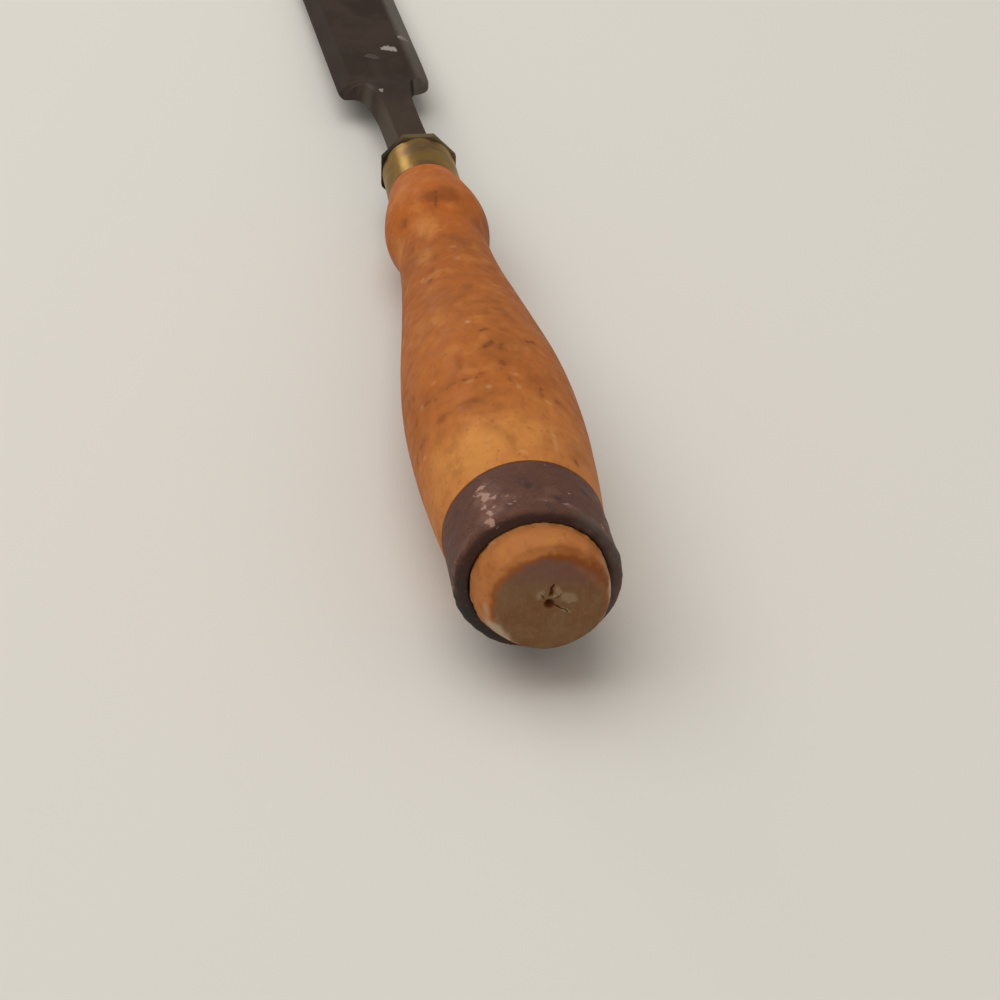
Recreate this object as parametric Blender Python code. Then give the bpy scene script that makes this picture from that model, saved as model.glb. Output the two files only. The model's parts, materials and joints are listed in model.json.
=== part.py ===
"""Bevel-edge wood chisel lying on its back: blade, brass ferrule, turned handle and striking hoop."""
import math

import bmesh
import bpy
from mathutils import Matrix, Vector

# Tool frame, millimetres: +Y runs along the handle from the butt to the edge, +Z is the bevelled
# front of the blade, and the origin is the centre of the hoop's rear rim.
MM = 0.001
GAP = 0.3                    # clearance between neighbouring pieces
ROUND_STEPS = 48             # facets round a turned piece

# Hoop
HOOP_LENGTH = 14.0
HOOP_OUTER_R = 12.7
HOOP_INNER_R = 10.4
HOOP_REAR_ROUND = 1.8        # rear edge worn round by mallet blows
HOOP_FRONT_ROUND = 0.4

# Ferrule
FERRULE_REAR = 137.5
FERRULE_FRONT = 149.9
FERRULE_OUTER_R = 7.1
FERRULE_INNER_R = 6.1
FERRULE_ROUND = 0.25

# Handle
BUTT_OVERHANG = 6.7          # butt standing out behind the hoop
BUTT_FACE_R = 7.6            # flat end-grain disc
BUTT_ROUND_END = 1.2         # rounded shoulder of the butt ends here
CENTRE_HOLE_R = 0.9          # lathe-centre hole in the disc
CENTRE_HOLE_DEPTH = 1.5
BUTT_SHIFT = 0.7             # the worn butt stands a little right of the axis
GRIP_EDGE_R = 12.75          # wood flush with the hoop
BELLY_AT = 45.0
BELLY_R = 14.4
TAPER_AT = 72.0              # where the belly has run out into the straight taper
TAPER_R = 12.45
WAIST_AT = 110.6
WAIST_R = 8.4
BEAD_AT = 120.4
BEAD_R = 9.55
TURNING_STEP = 3.2           # spacing of the turned profile's points

# Blade forging; its stations are measured from the front of the ferrule
TANG_LENGTH = 68.0
TANG_ROOT = 2.9              # half width
TANG_TIP = 1.2
BOLSTER_REAR = 0.3
BOLSTER_FRONT = 1.9
BOLSTER_HALF = 7.15          # regular octagon, half the distance across its flats
NECK_HALF = 3.4
NECK_CHAMFER = 0.7
NECK_START = 8.0
NECK_OFFSET = -0.35          # the neck runs a little left of the blade's middle
BEND_AT = 7.3                # the forging is bent a little sideways in front of the bolster
BLADE_SET_DEG = 2.74
FILLET_START = 20.0          # concave run from neck to shoulder
FILLET_END_HALF = 6.5
SHOULDER_AT = 42.0
SHOULDER_LEFT = 8.7          # the shoulder's corners are worn, the right one more
SHOULDER_RIGHT = 7.4
SHOULDER_SKEW = 1.4          # the right shoulder sits this much nearer the edge
CORNER_LENGTH = 4.5
RAMP_START = 32.0            # the neck's top slopes down to the blade's front
RAMP_END = 46.5
BLADE_LENGTH = 110.0
BLADE_ROOT_HALF = 9.55
BLADE_EDGE_HALF = 9.75
BLADE_BACK = -2.2            # level of the flat back under the tool's axis
BLADE_ROOT_THICK = 3.4
BLADE_TIP_THICK = 2.6
SIDE_LAND = 1.5              # upright side of the blade under the side bevel
SIDE_BEVEL = 2.5             # plan width of the side bevel
ARRIS = 0.12
CUTTING_ANGLE_DEG = 25.0
EDGE_LAND = 0.12

EDGE_AT = SHOULDER_AT + BLADE_LENGTH


def clear_scene():
    for old in list(bpy.data.objects):
        bpy.data.objects.remove(old, do_unlink=True)


def principled(name, colour, roughness, metallic):
    material = bpy.data.materials.new(name)
    material.use_nodes = True
    shader = material.node_tree.nodes["Principled BSDF"]
    shader.inputs["Base Color"].default_value = (*colour, 1.0)
    shader.inputs["Roughness"].default_value = roughness
    shader.inputs["Metallic"].default_value = metallic
    return material


def add_object(name, mesh_maker, material, parent):
    mesh = bpy.data.meshes.new(name)
    mesh_maker.to_mesh(mesh)
    mesh_maker.free()
    piece = bpy.data.objects.new(name, mesh)
    bpy.context.scene.collection.objects.link(piece)
    piece.parent = parent
    if material is not None:
        mesh.materials.append(material)
    return piece


def shade_round(piece, angle_deg):
    piece.data.shade_smooth()
    piece.data.set_sharp_from_angle(angle=math.radians(angle_deg))


def revolve(profile, closed):
    """Spin a profile of (along, radius) points about the tool's axis."""
    bm = bmesh.new()
    verts = [bm.verts.new((radius * MM, along * MM, 0.0)) for along, radius in profile]
    pairs = list(zip(verts[:-1], verts[1:]))
    if closed:
        pairs.append((verts[-1], verts[0]))
    edges = [bm.edges.new(pair) for pair in pairs]
    bmesh.ops.spin(
        bm, geom=verts + edges, cent=(0.0, 0.0, 0.0), axis=(0.0, 1.0, 0.0),
        angle=2.0 * math.pi, steps=ROUND_STEPS, use_merge=True, use_duplicate=False)
    bmesh.ops.remove_doubles(bm, verts=bm.verts, dist=1e-6)
    bmesh.ops.recalc_face_normals(bm, faces=bm.faces)
    return bm


def quarter_round(centre, size, start_deg, end_deg, steps):
    """Points on an ellipse quarter; angle 0 points outward and 90 points forward."""
    points = []
    for index in range(steps + 1):
        angle = math.radians(start_deg + (end_deg - start_deg) * index / steps)
        points.append((centre[0] + size[0] * math.sin(angle), centre[1] + size[1] * math.cos(angle)))
    return points


def hermite(start, end, slope_start, slope_end, along):
    """Cubic between two (along, radius) stations with given slopes."""
    span = end[0] - start[0]
    t = (along - start[0]) / span
    return (
        (2 * t ** 3 - 3 * t ** 2 + 1) * start[1]
        + (t ** 3 - 2 * t ** 2 + t) * span * slope_start
        + (3 * t ** 2 - 2 * t ** 3) * end[1]
        + (t ** 3 - t ** 2) * span * slope_end)


def grip_profile():
    """Turned outside of the handle from the hoop to the ferrule."""
    stations = (
        (HOOP_LENGTH + GAP, GRIP_EDGE_R, 0.10),
        (BELLY_AT, BELLY_R, 0.0),
        (TAPER_AT, TAPER_R, -0.124),
        (WAIST_AT, WAIST_R, -0.03),
        (BEAD_AT, BEAD_R, 0.06),
        (FERRULE_REAR - GAP, FERRULE_OUTER_R + 0.12, -0.145),
    )
    points = []
    for first, second in zip(stations[:-1], stations[1:]):
        count = max(3, round((second[0] - first[0]) / TURNING_STEP))
        for index in range(count):
            along = first[0] + (second[0] - first[0]) * index / count
            points.append((along, hermite(first[:2], second[:2], first[2], second[2], along)))
    points.append(stations[-1][:2])
    return points


def handle_profile():
    seat_r = HOOP_INNER_R - GAP
    tenon_r = FERRULE_INNER_R - GAP
    points = [(-BUTT_OVERHANG + CENTRE_HOLE_DEPTH, 0.0), (-BUTT_OVERHANG, CENTRE_HOLE_R)]
    points += quarter_round(
        (-BUTT_ROUND_END, BUTT_FACE_R),
        (BUTT_OVERHANG - BUTT_ROUND_END, seat_r - BUTT_FACE_R),
        -90.0, 0.0, 7)
    points.append((HOOP_LENGTH + GAP, seat_r))
    points.append((HOOP_LENGTH + GAP, GRIP_EDGE_R - 0.2))
    grip = grip_profile()
    points.append((HOOP_LENGTH + GAP + 0.25, GRIP_EDGE_R))
    points += grip[1:]
    points.append((FERRULE_REAR - GAP, tenon_r))
    points.append((FERRULE_FRONT - GAP, tenon_r))
    points.append((FERRULE_FRONT - GAP, 0.0))
    return points


def handle_mesh():
    """Turned handle whose butt has worn off the axis behind the hoop."""
    bm = revolve(handle_profile(), False)
    for vert in bm.verts:
        share = smooth_step(-vert.co.y / MM, BUTT_ROUND_END, BUTT_OVERHANG)
        vert.co.x += BUTT_SHIFT * share * MM
    return bm


def tube_profile(rear, front, outer, inner, rear_round, front_round, steps):
    points = quarter_round(
        (rear + rear_round, outer - rear_round), (rear_round, rear_round), -90.0, 0.0, steps)
    points += quarter_round(
        (front - front_round, outer - front_round), (front_round, front_round), 0.0, 90.0, 2)
    points.append((front, inner))
    points.append((rear, inner))
    return points


def octagon(half, chamfer, back, front):
    """Ring of eight (side, level) points: chamfered rectangle between two levels."""
    low = back + chamfer
    high = front - chamfer
    inner = half - chamfer
    return [
        (-half, low), (-inner, back), (inner, back), (half, low),
        (half, high), (inner, front), (-inner, front), (-half, high)]


def smooth_step(value, low, high):
    t = min(1.0, max(0.0, (value - low) / (high - low)))
    return t * t * (3.0 - 2.0 * t)


def mix(first, second, share):
    return first + (second - first) * share


def blade_half(along, shoulder):
    """Half width in plan from the neck over the concave fillet and worn corner to the edge."""
    if along <= FILLET_START:
        return NECK_HALF
    if along < SHOULDER_AT:
        t = (along - FILLET_START) / (SHOULDER_AT - FILLET_START)
        return NECK_HALF + (FILLET_END_HALF - NECK_HALF) * (1.0 - math.sqrt(1.0 - t * t))
    full = mix(BLADE_ROOT_HALF, BLADE_EDGE_HALF, (along - SHOULDER_AT) / BLADE_LENGTH)
    t = min(1.0, (along - SHOULDER_AT) / CORNER_LENGTH)
    return full - (full - shoulder) * (1.0 - math.sqrt(t * (2.0 - t)))


def blade_ring(along):
    """Section of the neck and blade: chamfered neck changing into a bevel-edge section."""
    left = blade_half(along, SHOULDER_LEFT)
    right = blade_half(along - SHOULDER_SKEW, SHOULDER_RIGHT)
    share = smooth_step(along, FILLET_START + 6.0, SHOULDER_AT)
    thick = mix(BLADE_ROOT_THICK, BLADE_TIP_THICK, max(0.0, (along - SHOULDER_AT) / BLADE_LENGTH))
    back = mix(-NECK_HALF, BLADE_BACK, smooth_step(along, NECK_START, SHOULDER_AT - 4.0))
    front = mix(NECK_HALF, BLADE_BACK + thick, smooth_step(along, RAMP_START, RAMP_END))
    under = mix(NECK_CHAMFER, ARRIS, share)
    side = mix(front - NECK_CHAMFER, BLADE_BACK + SIDE_LAND, share)
    widen = smooth_step(along, FILLET_START, RAMP_END)
    ridge = mix(NECK_HALF - NECK_CHAMFER, BLADE_ROOT_HALF - SIDE_BEVEL, widen)
    ridge = min(ridge, left - 0.3, right - 0.3)
    if along > RAMP_END:
        ridge = left - SIDE_BEVEL
    shift = mix(NECK_OFFSET, 0.0, smooth_step(along, FILLET_START + 8.0, SHOULDER_AT + 1.0))
    points = [
        (-left, back + under), (-left + under, back), (right - under, back), (right, back + under),
        (right, side), (ridge, front), (-ridge, front), (-left, side)]
    return [(across + shift, level) for across, level in points]


def blade_mesh():
    """One forging: tang, bolster, neck and blade lofted through eight-cornered rings."""
    straight = Matrix.Translation((0.0, FERRULE_FRONT, 0.0))
    bend = (
        Matrix.Translation((0.0, FERRULE_FRONT + BEND_AT, 0.0))
        @ Matrix.Rotation(math.radians(BLADE_SET_DEG), 4, "Z")
        @ Matrix.Translation((0.0, -BEND_AT, 0.0)))
    octagon_chamfer = BOLSTER_HALF * (2.0 - math.sqrt(2.0))
    rings = []

    def section(along, half, chamfer, frame, shift=0.0):
        points = octagon(half, chamfer, -half, half)
        rings.append([frame @ Vector((across + shift, along, level)) for across, level in points])

    for index in range(5):
        share = index / 4
        half = mix(TANG_TIP, TANG_ROOT, share)
        section(BOLSTER_REAR - TANG_LENGTH * (1.0 - share), half, 0.16 * half, straight)
    section(BOLSTER_REAR, BOLSTER_HALF, octagon_chamfer, straight)
    section(BOLSTER_FRONT, BOLSTER_HALF, octagon_chamfer, straight)
    cove = NECK_START - BOLSTER_FRONT
    for index in range(5):
        angle = math.radians(20.0 + 17.5 * index)
        half = NECK_HALF + (BOLSTER_HALF - 0.8 - NECK_HALF) * (1.0 - math.sin(angle))
        along = BOLSTER_FRONT + 0.35 + (cove - 0.35) * (1.0 - math.cos(angle))
        chamfer = mix(NECK_CHAMFER, octagon_chamfer * half / BOLSTER_HALF, 1.0 - math.sin(angle))
        section(along, half, chamfer, straight if along < BEND_AT else bend, NECK_OFFSET * index / 4)

    alongs = [NECK_START + 5.0, FILLET_START, FILLET_START + 5.0]
    alongs += [FILLET_START + (SHOULDER_AT - FILLET_START) * share for share in (
        0.36, 0.48, 0.58, 0.67, 0.75, 0.82, 0.88, 0.93, 0.97, 0.995)]
    alongs += [SHOULDER_AT + CORNER_LENGTH * share for share in (0.0, 0.06, 0.16, 0.32, 0.55, 0.8, 1.0)]
    alongs += [SHOULDER_AT + BLADE_LENGTH * share for share in (0.12, 0.35, 0.6, 0.85, 1.0)]
    for along in alongs:
        rings.append([bend @ Vector((across, along, level)) for across, level in blade_ring(along)])

    bm = bmesh.new()
    loops = [[bm.verts.new(point * MM) for point in ring] for ring in rings]
    for first, second in zip(loops[:-1], loops[1:]):
        for index in range(8):
            after = (index + 1) % 8
            bm.faces.new((first[index], first[after], second[after], second[index]))
    bm.faces.new(list(reversed(loops[0])))
    bm.faces.new(loops[-1])

    # The cutting bevel is ground off the front of the blade's end.
    grind = math.radians(CUTTING_ANGLE_DEG)
    edge = bend @ Vector((0.0, EDGE_AT, BLADE_BACK + EDGE_LAND))
    normal = bend.to_3x3() @ Vector((0.0, math.sin(grind), math.cos(grind)))
    cut = bmesh.ops.bisect_plane(
        bm, geom=bm.verts[:] + bm.edges[:] + bm.faces[:], dist=1e-7,
        plane_co=edge * MM, plane_no=normal, clear_outer=True, clear_inner=False)
    rim = [item for item in cut["geom_cut"] if isinstance(item, bmesh.types.BMEdge)]
    bmesh.ops.holes_fill(bm, edges=rim, sides=0)
    bmesh.ops.recalc_face_normals(bm, faces=bm.faces)
    return bm


def socket_mesh():
    """Tapered square hole that the tang is driven into, with its clearance."""
    bm = bmesh.new()
    loops = []
    front = FERRULE_FRONT + 4.0
    rear = FERRULE_FRONT + BOLSTER_REAR - TANG_LENGTH
    slope = (TANG_ROOT - TANG_TIP) / TANG_LENGTH
    for along in (rear - 1.0, front):
        half = TANG_TIP + slope * (along - rear) + GAP
        corners = ((-half, -half), (half, -half), (half, half), (-half, half))
        loops.append([bm.verts.new((side * MM, along * MM, level * MM)) for side, level in corners])
    for index in range(4):
        after = (index + 1) % 4
        bm.faces.new((loops[0][index], loops[0][after], loops[1][after], loops[1][index]))
    bm.faces.new(list(reversed(loops[0])))
    bm.faces.new(loops[1])
    bmesh.ops.recalc_face_normals(bm, faces=bm.faces)
    return bm


def world_corners(pieces):
    bpy.context.view_layer.update()
    points = [piece.matrix_world @ vert.co for piece in pieces for vert in piece.data.vertices]
    low = Vector([min(point[axis] for point in points) for axis in range(3)])
    high = Vector([max(point[axis] for point in points) for axis in range(3)])
    return low, high


def main():
    clear_scene()
    steel = principled("forged_steel", (0.085, 0.070, 0.060), 0.42, 1.0)
    brass = principled("aged_brass", (0.36, 0.24, 0.085), 0.38, 1.0)
    beech = principled("oiled_beech", (0.40, 0.165, 0.050), 0.48, 0.0)
    iron = principled("browned_hoop", (0.060, 0.042, 0.040), 0.50, 1.0)

    rest = bpy.data.objects.new("rest_frame", None)
    bpy.context.scene.collection.objects.link(rest)

    handle = add_object("handle", handle_mesh(), beech, rest)
    shade_round(handle, 40.0)
    hoop_points = tube_profile(
        0.0, HOOP_LENGTH, HOOP_OUTER_R, HOOP_INNER_R, HOOP_REAR_ROUND, HOOP_FRONT_ROUND, 4)
    hoop = add_object("hoop", revolve(hoop_points, True), iron, rest)
    shade_round(hoop, 40.0)
    ferrule_points = tube_profile(
        FERRULE_REAR, FERRULE_FRONT, FERRULE_OUTER_R, FERRULE_INNER_R, FERRULE_ROUND, FERRULE_ROUND, 2)
    ferrule = add_object("ferrule", revolve(ferrule_points, True), brass, rest)
    shade_round(ferrule, 50.0)
    blade = add_object("blade", blade_mesh(), steel, rest)

    socket = add_object("tang_socket_cutter", socket_mesh(), None, rest)
    socket.hide_render = True
    socket.display_type = "WIRE"
    cut = handle.modifiers.new("tang_socket", "BOOLEAN")
    cut.operation = "DIFFERENCE"
    cut.solver = "EXACT"
    cut.object = socket

    # At rest the belly and the cutting edge both touch the ground; the origin is under the middle.
    tip_at = FERRULE_FRONT + EDGE_AT
    tilt = math.atan2(BELLY_R + BLADE_BACK, tip_at - BELLY_AT)
    rest.rotation_euler = (-tilt, 0.0, 0.0)
    low, high = world_corners([handle, hoop, ferrule, blade])
    rest.location = (-(low.x + high.x) / 2.0, -(low.y + high.y) / 2.0, -low.z)
    bpy.context.view_layer.update()


main()
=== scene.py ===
import json
import math

import bpy
import numpy as np
from mathutils import Matrix, Vector, noise


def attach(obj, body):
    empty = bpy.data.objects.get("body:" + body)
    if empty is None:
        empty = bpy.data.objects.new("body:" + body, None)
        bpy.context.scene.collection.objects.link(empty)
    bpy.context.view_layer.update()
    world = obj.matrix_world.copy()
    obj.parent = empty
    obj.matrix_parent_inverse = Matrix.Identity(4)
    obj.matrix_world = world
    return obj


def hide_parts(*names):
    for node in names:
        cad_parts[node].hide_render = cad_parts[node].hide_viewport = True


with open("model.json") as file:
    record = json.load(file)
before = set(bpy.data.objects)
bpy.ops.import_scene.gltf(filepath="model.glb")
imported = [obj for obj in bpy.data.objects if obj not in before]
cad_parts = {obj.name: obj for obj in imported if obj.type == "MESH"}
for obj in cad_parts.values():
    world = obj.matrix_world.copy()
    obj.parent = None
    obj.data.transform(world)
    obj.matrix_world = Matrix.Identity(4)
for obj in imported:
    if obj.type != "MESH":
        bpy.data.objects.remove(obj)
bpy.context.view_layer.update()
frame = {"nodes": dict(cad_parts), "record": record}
print("frame loaded:", ", ".join(frame["nodes"]))

mm = 0.001
tiny = 1e-6
toolSetup = {
    "buttOverhang": 6.7,  # butt face behind the hoop's rear rim
    "mountAboveAxis": 4.5,  # striking mount above the tool's axis
    "ferruleFront": 149.9,
    "bladeBend": (7.3, 2.74),  # past the ferrule, and degrees to the left
    "mergeGap": 0.002,  # points closer than this are merged
}


# the tool's own frame starts at the hoop's rear rim:
# x across, y along from butt to edge, z out of the blade's front
def findToolFrame():
    mounts = {mount["name"]: mount for mount in frame["record"]["mounts"]}
    along = -Vector(mounts["striking_face"]["axis"]).normalized()
    front = -Vector(mounts["blade_back"]["axis"]).normalized()
    across = along.cross(front)
    start = Vector(mounts["striking_face"]["pos_m"])
    start += along * toolSetup["buttOverhang"] * mm - front * toolSetup["mountAboveAxis"] * mm
    matrix = Matrix((across, along, front)).transposed().to_4x4()
    matrix.translation = start
    return matrix


def findBladeFrame():  # leans with the blade and starts at its bend
    bendAt, bendAngle = toolSetup["bladeBend"]
    bend = Matrix.Translation((0, toolSetup["ferruleFront"] + bendAt, 0))
    return bend @ Matrix.Rotation(math.radians(bendAngle), 4, "Z")


toolMatrix = findToolFrame()
bladeMatrix = findBladeFrame()
fromMm = Matrix.Diagonal((mm, mm, mm, 1))
toMm = Matrix.Diagonal((1 / mm, 1 / mm, 1 / mm, 1))
bladeToScene = toolMatrix @ fromMm @ bladeMatrix


# modelling helpers

def clearSelection():
    if bpy.context.object and bpy.context.object.mode != "OBJECT":
        bpy.ops.object.mode_set(mode="OBJECT")
    bpy.ops.object.select_all(action="DESELECT")


def pickOnly(piece):
    clearSelection()
    piece.select_set(True)
    bpy.context.view_layer.objects.active = piece


def turnPiece(name, profile, steps):  # profile of (along, radius) in mm, drawn point by point and spun
    clearSelection()
    bpy.ops.mesh.primitive_plane_add(size=mm)
    piece = bpy.context.object
    piece.name = name
    bpy.ops.object.mode_set(mode="EDIT")
    bpy.ops.mesh.select_all(action="SELECT")
    bpy.ops.mesh.merge(type="CENTER")
    bpy.ops.transform.translate(value=(profile[0][1] * mm, profile[0][0] * mm, 0))
    for before, after in zip(profile[:-1], profile[1:]):
        step = ((after[1] - before[1]) * mm, (after[0] - before[0]) * mm, 0)
        bpy.ops.mesh.extrude_region_move(TRANSFORM_OT_translate={"value": step})
    bpy.ops.mesh.select_all(action="SELECT")
    bpy.ops.mesh.spin(steps=steps, angle=math.tau, center=(0, 0, 0), axis=(0, 1, 0))
    bpy.ops.mesh.select_all(action="SELECT")
    bpy.ops.mesh.remove_doubles(threshold=toolSetup["mergeGap"] * mm)
    bpy.ops.mesh.normals_make_consistent(inside=False)
    bpy.ops.object.mode_set(mode="OBJECT")
    return piece


def quarterRound(centre, size, startAngle, endAngle, steps):
    points = []
    for step in range(steps + 1):
        angle = math.radians(startAngle + (endAngle - startAngle) * step / steps)
        points.append((centre[0] + size[0] * math.sin(angle), centre[1] + size[1] * math.cos(angle)))
    return points


def ringOutside(rear, front, outer, rearRound, frontRound):  # each round: radius, steps
    rearRim, rearSteps = rearRound
    frontRim, frontSteps = frontRound
    points = quarterRound((rear + rearRim, outer - rearRim), (rearRim, rearRim), -90, 0, rearSteps)
    points += quarterRound((front - frontRim, outer - frontRim), (frontRim, frontRim), 0, 90, frontSteps)
    return points


def fillProfile(profile, spacing):  # adds points on the straight runs
    filled = [profile[0]]
    for before, after in zip(profile[:-1], profile[1:]):
        count = max(1, math.ceil(math.dist(before, after) / spacing))
        for step in range(1, count + 1):
            along = before[0] + (after[0] - before[0]) * step / count
            radius = before[1] + (after[1] - before[1]) * step / count
            filled.append((along, radius))
    return filled


def readPlaces(piece):  # vertex places in mm, while the piece still lies in the tool's frame
    flat = np.empty(len(piece.data.vertices) * 3)
    piece.data.vertices.foreach_get("co", flat)
    return flat.reshape(-1, 3) / mm


def writePlaces(piece, places):
    piece.data.vertices.foreach_set("co", (places * mm).ravel())
    piece.data.update()


def keepAttribute(piece, name, values):  # from 0 to 1 at each vertex
    attribute = piece.data.attributes.new(name, "FLOAT", "POINT")
    attribute.data.foreach_set("value", np.clip(values, 0, 1).astype(np.float32))


def seatPiece(piece, node, material, smoothAngle):  # from the tool's frame to the CAD frame
    piece.matrix_world = toolMatrix
    pickOnly(piece)
    bpy.ops.object.transform_apply(location=True, rotation=True, scale=True)
    finishPiece(piece, node, material, smoothAngle)


def finishPiece(piece, node, material, smoothAngle):
    pickOnly(piece)
    bpy.ops.object.shade_smooth_by_angle(angle=math.radians(smoothAngle))
    piece.data.materials.clear()
    piece.data.materials.append(material)
    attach(piece, "root")
    if node:
        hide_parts(node)
    print("made", piece.name, len(piece.data.polygons), "faces")


# wear helpers: places are in mm in the tool's frame, angles in degrees from its front

wearFades = {
    "patch": (0.3, 1.2),  # shares of a patch's half size
    "stroke": (0.25, 1.35),  # shares of a stroke's half width
    "halo": 1.3,  # mm past a stroke
}
seedSteps = (7.3, 3.1, 5.7)


def smoothStep(value, low, high):
    share = np.clip((value - low) / (high - low), 0, 1)
    return share * share * (3 - 2 * share)


def fadeOut(value, low, high):
    return 1 - smoothStep(value, low, high)


def band(value, rise, fall):  # 1 between the two fades
    return smoothStep(value, *rise) * fadeOut(value, *fall)


def apart(angle, target):
    return (angle - target + 180) % 360 - 180


def nearSide(angle, target, low, high):  # 1 at one side of the tool, fading round it
    return fadeOut(np.abs(apart(angle, target)), low, high)


def roundAxis(places):
    radius = np.hypot(places[:, 0], places[:, 2])
    angle = np.degrees(np.arctan2(places[:, 0], places[:, 2]))
    return radius, angle


def awayFromAxis(places):  # outward directions
    outward = places * (1, 0, 1)
    return outward / np.maximum(np.linalg.norm(outward, axis=1), tiny)[:, None]


def pushOut(places, outward, amount):
    places += outward * amount[:, None]


def unevenness(places, size, seed):  # smooth noise from -1 to 1
    offset = Vector([seed * step for step in seedSteps])
    return np.array([noise.noise(Vector(place) / size + offset) for place in places])


def unevenSet(places, sizes):  # sizes: name to (size in mm, seed)
    return {name: unevenness(places, size, seed) for name, (size, seed) in sizes.items()}


def weighted(uneven, **weights):
    return sum(weight * uneven[name] for name, weight in weights.items())


def blotch(ahead, aside, length, width, slant, ragged, fade):  # a ragged oval turned by its slant
    turn = math.radians(slant)
    lengthwise = ahead * math.cos(turn) + aside * math.sin(turn)
    crosswise = aside * math.cos(turn) - ahead * math.sin(turn)
    return fadeOut(np.hypot(lengthwise / length, crosswise / width) + ragged, *fade)


# patches: along, angle, half length, half width, depth, slant
def patchCover(places, patches, ragged):
    radius, angle = roundAxis(places)
    cover = np.zeros(len(places))
    for patchAlong, patchAngle, length, width, depth, slant in patches:
        ahead = places[:, 1] - patchAlong
        aside = radius * np.radians(apart(angle, patchAngle))
        patch = blotch(ahead, aside, length, width, slant, ragged, wearFades["patch"])
        cover = np.maximum(cover, depth * patch)
    return cover


# strokes: depth, half width, points of (along, angle)
def strokeCover(places, strokes, wobbleAlong, wobbleAside):
    radius, angle = roundAxis(places)
    cover = np.zeros(len(places))
    halo = np.zeros(len(places))
    core, edge = wearFades["stroke"]
    for depth, width, points in strokes:
        nearest = np.full(len(places), np.inf)
        for (startAlong, startAngle), (endAlong, endAngle) in zip(points[:-1], points[1:]):
            ahead = places[:, 1] + wobbleAlong - startAlong
            aside = radius * np.radians(apart(angle, startAngle)) + wobbleAside
            runAlong = endAlong - startAlong
            runAside = radius * math.radians(endAngle - startAngle)
            runSquare = runAlong ** 2 + runAside ** 2 + tiny
            share = np.clip((ahead * runAlong + aside * runAside) / runSquare, 0, 1)
            nearest = np.minimum(nearest, np.hypot(ahead - share * runAlong, aside - share * runAside))
        cover = np.maximum(cover, depth * fadeOut(nearest, core * width, edge * width))
        halo = np.maximum(halo, depth * fadeOut(nearest, 0, width + wearFades["halo"]))
    return cover, halo


# node helpers

def startMaterial(name):
    material = bpy.data.materials.new(name)
    material.use_nodes = True
    return material, material.node_tree, material.node_tree.nodes["Principled BSDF"]


def addNode(tree, kind, inputs, **settings):
    made = tree.nodes.new(kind)
    for key, value in settings.items():
        setattr(made, key, value)
    for key, value in inputs.items():
        if isinstance(value, bpy.types.NodeSocket):
            tree.links.new(value, made.inputs[key])
        else:
            made.inputs[key].default_value = value
    return made


def toolCoordinates(tree):  # Object coordinates turned into the tool's frame, in mm
    texture = tree.nodes.new("ShaderNodeTexCoord")
    mapping = addNode(tree, "ShaderNodeMapping", {
        "Vector": texture.outputs["Object"], "Location": toolMatrix.translation,
        "Rotation": toolMatrix.to_euler(), "Scale": (mm, mm, mm)}, vector_type="TEXTURE")
    return mapping.outputs["Vector"]


def vectorMaths(tree, operation, first, second):
    return addNode(tree, "ShaderNodeVectorMath", {0: first, 1: second}, operation=operation).outputs[0]


def stretch(tree, vector, factors):
    return vectorMaths(tree, "MULTIPLY", vector, factors)


def distanceFrom(tree, place, offset, factors):  # length of a shifted and stretched place
    moved = stretch(tree, vectorMaths(tree, "ADD", place, offset), factors)
    return addNode(tree, "ShaderNodeVectorMath", {0: moved}, operation="LENGTH").outputs["Value"]


def splitVector(tree, vector):
    return addNode(tree, "ShaderNodeSeparateXYZ", {"Vector": vector}).outputs


def maths(tree, operation, first, second):
    return addNode(tree, "ShaderNodeMath", {0: first, 1: second}, operation=operation).outputs[0]


def scaled(tree, value, factor):
    return maths(tree, "MULTIPLY", value, factor)


def ranged(tree, value, fade, reach=(0.0, 1.0)):  # eases from the first reach to the second over the fade
    made = addNode(tree, "ShaderNodeMapRange", {
        "Value": value, "From Min": fade[0], "From Max": fade[1], "To Min": reach[0], "To Max": reach[1]},
        interpolation_type="SMOOTHSTEP")
    return made.outputs["Result"]


# rows: name to stretch if any, scale, detail, roughness, distortion
def noiseSet(tree, place, rows):
    values = {}
    for name, (factors, scale, detail, rough, distortion) in rows.items():
        made = addNode(tree, "ShaderNodeTexNoise", {
            "Vector": stretch(tree, place, factors) if factors else place,
            "Scale": scale, "Detail": detail, "Roughness": rough, "Distortion": distortion})
        values[name] = made.outputs["Fac"]
    return values


def attributeSet(tree, names):
    values = {}
    for name in names:
        values[name] = addNode(tree, "ShaderNodeAttribute", {}, attribute_name=name).outputs["Fac"]
    return values


def mixColour(tree, share, first, second, blend="MIX"):
    inputs = {0: share}
    for socket, colour in ((6, first), (7, second)):
        inputs[socket] = colour if isinstance(colour, bpy.types.NodeSocket) else (*colour, 1)
    return addNode(tree, "ShaderNodeMix", inputs, data_type="RGBA", blend_type=blend).outputs[2]


# layers, each laid over the last: cover, fade if any, share, colour
def layered(tree, base, cover, layers, colours):
    for name, fade, share, colour in layers:
        if fade:
            amount = ranged(tree, cover[name], fade, (0.0, share))
        else:
            amount = scaled(tree, cover[name], share)
        base = mixColour(tree, amount, base, colours[colour])
    return base


def colourRamp(tree, value, stops):
    ramp = addNode(tree, "ShaderNodeValToRGB", {"Fac": value})
    elements = ramp.color_ramp.elements
    for element, (place, colour) in zip(elements, (stops[0], stops[-1])):
        element.position = place
        element.color = (*colour, 1)
    for place, colour in stops[1:-1]:
        elements.new(place).color = (*colour, 1)
    return ramp.outputs["Color"]


def setSockets(shader, values):  # the same all over the surface
    for name, value in values.items():
        shader.inputs[name].default_value = value


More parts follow.
